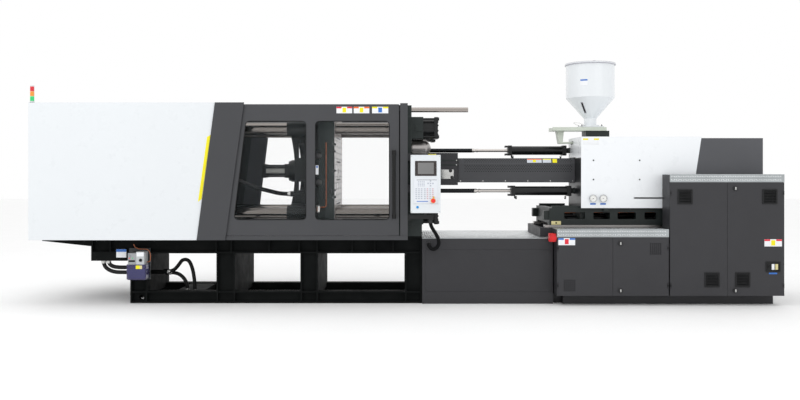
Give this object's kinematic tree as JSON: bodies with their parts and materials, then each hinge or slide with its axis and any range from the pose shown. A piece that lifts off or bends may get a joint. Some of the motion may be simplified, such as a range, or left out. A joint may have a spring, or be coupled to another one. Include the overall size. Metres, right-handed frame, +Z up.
{
  "type": "injection moulding machine",
  "caption": "Two-platen injection moulding machine: windowed sliding gates, tie bars, hydraulic injection unit with hopper, swivelling panel and hinged cabinet doors.",
  "frame": {"origin": "bottom centre of the machine's bounding box, on the floor", "axes": "+X from the clamp end to the injection end, -Y towards the operator, +Z up"},
  "size_m": [8.321, 1.7799, 2.784],
  "materials": {
    "bed_paint": "satin enamel",
    "casting_paint": "rough cast, enamelled",
    "cover_white": "powder coat",
    "charcoal_paint": "fine textured powder coat",
    "chrome_bar": "polished",
    "ground_steel": "ground",
    "black_steel": "semi-gloss",
    "clear_pane": "clear polycarbonate",
    "reservoir_clear": "tinted clear plastic",
    "pump_grey": "satin",
    "hose_rubber": "matte",
    "conduit_black": "corrugated",
    "tread_aluminium": "chequered, bright",
    "tower_lens": "translucent red, amber and green",
    "panel_white": "powder coat",
    "button_red": "gloss",
    "button_blue": "gloss",
    "socket_red": "satin",
    "gauge_case": "polished",
    "slide_green": "satin",
    "hopper_white": "gloss enamel",
    "lid_grey": "satin",
    "switch_black": "semi-gloss"
  },
  "bodies": {
    "base": {"clamp_bed": "bed_paint", "guide_ways": "ground_steel", "fixed_platen": "casting_paint", "tie_bars": "chrome_bar", "locking_cylinders": "black_steel", "clamp_covers": "cover_white", "trim_panels": "charcoal_paint", "gate_frames": "charcoal_paint", "signal_tower": "tower_lens", "lubrication_pump": "pump_grey", "lubricant_reservoir": "reservoir_clear", "bed_hoses": "hose_rubber", "accumulator": "ground_steel", "nozzle_guard": "charcoal_paint", "panel_bracket": "black_steel", "panel_conduit": "conduit_black", "injection_base": "charcoal_paint", "tread_plates": "tread_aluminium", "lower_cabinet": "charcoal_paint", "tall_cabinet": "charcoal_paint", "power_socket": "socket_red", "pump_motor": "casting_paint", "carriage_rods": "chrome_bar", "traverse_cylinders": "black_steel"},
    "front_gate": {"front_gate": "charcoal_paint", "front_windows": "clear_pane"},
    "rear_gate": {"rear_gate": "charcoal_paint", "rear_windows": "clear_pane"},
    "moving_platen": {"moving_platen": "casting_paint", "ejector_cylinder": "black_steel", "safety_bar": "chrome_bar", "traverse_rods": "chrome_bar", "platen_hose": "hose_rubber"},
    "ejector": {"ejector_rod": "chrome_bar"},
    "carriage": {"carriage": "casting_paint", "barrel": "ground_steel", "barrel_cover": "charcoal_paint", "injection_cylinders": "black_steel", "carriage_cylinders": "black_steel", "injection_cover": "cover_white", "rear_cover": "charcoal_paint", "pressure_gauges": "gauge_case", "hopper_plate": "slide_green"},
    "thrust": {"thrust_plate": "casting_paint"},
    "screw": {"screw": "ground_steel"},
    "hopper": {"hopper": "hopper_white"},
    "hopper_lid": {"hopper_lid": "lid_grey"},
    "panel": {"control_panel": "panel_white"},
    "e_stop": {"e_stop": "button_red"},
    "blue_button": {"blue_button": "button_blue"},
    "lower_left_door": {"lower_left_door": "charcoal_paint"},
    "lower_right_door": {"lower_right_door": "charcoal_paint"},
    "tall_left_door": {"tall_left_door": "charcoal_paint"},
    "tall_right_door": {"tall_right_door": "charcoal_paint"},
    "lower_top_latch": {"lower_top_latch": "switch_black"},
    "lower_bottom_latch": {"lower_bottom_latch": "switch_black"},
    "tall_top_latch": {"tall_top_latch": "switch_black"},
    "tall_bottom_latch": {"tall_bottom_latch": "switch_black"},
    "breaker_toggle": {"breaker_toggle": "switch_black"},
    "socket_flap": {"socket_flap": "socket_red"}
  },
  "joints": [
    {"name": "front_gate_slide", "type": "slide", "parent": "base", "child": "front_gate", "axis": [-1, 0, 0], "range_m": [0, 1.02]},
    {"name": "rear_gate_slide", "type": "slide", "parent": "base", "child": "rear_gate", "axis": [-1, 0, 0], "range_m": [0, 1.02]},
    {"name": "clamp_slide", "type": "slide", "parent": "base", "child": "moving_platen", "axis": [-1, 0, 0], "range_m": [-0.25, 0.64], "deforming": ["platen_hose"]},
    {"name": "ejector_slide", "type": "slide", "parent": "moving_platen", "child": "ejector", "axis": [1, 0, 0], "range_m": [0, 0.15]},
    {"name": "carriage_slide", "type": "slide", "parent": "base", "child": "carriage", "axis": [-1, 0, 0], "range_m": [-0.04, 0.35]},
    {"name": "injection_slide", "type": "slide", "parent": "carriage", "child": "thrust", "axis": [-1, 0, 0], "range_m": [0, 0.12]},
    {"name": "screw_spin", "type": "hinge", "parent": "thrust", "child": "screw", "pos_m": [2, 0.04, 1.49], "axis": [1, 0, 0], "continuous": true},
    {"name": "hopper_slide", "type": "slide", "parent": "carriage", "child": "hopper", "axis": [-1, 0, 0], "range_m": [0, 0.29]},
    {"name": "hopper_lid_hinge", "type": "hinge", "parent": "hopper", "child": "hopper_lid", "pos_m": [2.208, 0.349, 2.771], "axis": [-1, 0, 0], "range_deg": [0, 100]},
    {"name": "panel_swivel", "type": "hinge", "parent": "base", "child": "panel", "pos_m": [0.209, -0.75, 1.3], "axis": [0, 0, 1], "range_deg": [-30, 30]},
    {"name": "e_stop_push", "type": "slide", "parent": "panel", "child": "e_stop", "axis": [0, 1, 0], "range_m": [0, 0.006], "stiffness_N_per_m": 1500},
    {"name": "blue_button_push", "type": "slide", "parent": "panel", "child": "blue_button", "axis": [0, 1, 0], "range_m": [0, 0.003], "stiffness_N_per_m": 1500},
    {"name": "lower_left_door_hinge", "type": "hinge", "parent": "base", "child": "lower_left_door", "pos_m": [1.666, -0.76, 0.4], "axis": [0, 0, -1], "range_deg": [0, 90]},
    {"name": "lower_right_door_hinge", "type": "hinge", "parent": "base", "child": "lower_right_door", "pos_m": [2.88, -0.76, 0.4], "axis": [0, 0, 1], "range_deg": [0, 90]},
    {"name": "tall_left_door_hinge", "type": "hinge", "parent": "base", "child": "tall_left_door", "pos_m": [2.909, -0.76, 0.7], "axis": [0, 0, -1], "range_deg": [0, 90]},
    {"name": "tall_right_door_hinge", "type": "hinge", "parent": "base", "child": "tall_right_door", "pos_m": [4.1515, -0.76, 0.7], "axis": [0, 0, 1], "range_deg": [0, 100]},
    {"name": "lower_top_latch_turn", "type": "hinge", "parent": "lower_right_door", "child": "lower_top_latch", "pos_m": [2.354, -0.76, 0.689], "axis": [0, -1, 0], "range_deg": [0, 90]},
    {"name": "lower_bottom_latch_turn", "type": "hinge", "parent": "lower_right_door", "child": "lower_bottom_latch", "pos_m": [2.354, -0.76, 0.17], "axis": [0, -1, 0], "range_deg": [0, 90]},
    {"name": "tall_top_latch_turn", "type": "hinge", "parent": "tall_right_door", "child": "tall_top_latch", "pos_m": [3.617, -0.76, 1.294], "axis": [0, -1, 0], "range_deg": [0, 90]},
    {"name": "tall_bottom_latch_turn", "type": "hinge", "parent": "tall_right_door", "child": "tall_bottom_latch", "pos_m": [3.617, -0.76, 0.17], "axis": [0, -1, 0], "range_deg": [0, 90]},
    {"name": "breaker_switch", "type": "hinge", "parent": "tall_right_door", "child": "breaker_toggle", "pos_m": [3.991, -0.767, 0.431], "axis": [1, 0, 0], "range_deg": [-25, 25]},
    {"name": "socket_flap_hinge", "type": "hinge", "parent": "base", "child": "socket_flap", "pos_m": [1.616, -0.7605, 0.788], "axis": [-1, 0, 0], "range_deg": [0, 110], "stiffness_Nm_per_rad": 0.15}
  ]
}
